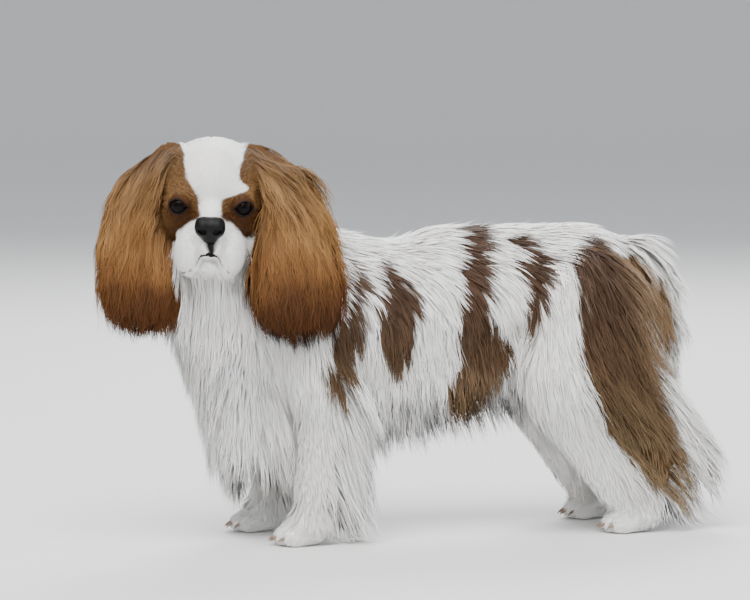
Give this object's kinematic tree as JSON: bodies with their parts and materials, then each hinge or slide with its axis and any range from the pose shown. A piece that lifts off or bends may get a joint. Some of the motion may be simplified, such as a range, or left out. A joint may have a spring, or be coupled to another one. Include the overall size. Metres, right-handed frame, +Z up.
{
  "type": "cavalier king charles spaniel",
  "caption": "Life-size still model of a small long-coated spaniel, white with chestnut patches, standing with its head turned to the viewer and long feathered ears hanging.",
  "frame": {"origin": "on the floor, under the middle of the whole dog", "axes": "-X ahead of the dog and +X towards its tail, -Y to its left side, +Z up"},
  "size_m": [0.649, 0.214, 0.402],
  "materials": {
    "white_coat": "matt, long silky hair",
    "chestnut_coat": "matt, long silky hair",
    "eye": "gloss",
    "nose": "satin"
  },
  "bodies": {
    "root": {"head": "white_coat", "neck": "white_coat", "torso": "white_coat", "leg_front_left": "white_coat", "leg_front_right": "white_coat", "leg_hind_left": "white_coat", "leg_hind_right": "white_coat", "paw_front_left": "white_coat", "paw_front_right": "white_coat", "paw_hind_left": "white_coat", "paw_hind_right": "white_coat", "tail": "white_coat", "ear_left": "chestnut_coat", "ear_right": "chestnut_coat", "eye_left": "eye", "eye_right": "eye", "nose": "nose"}
  },
  "joints": []
}
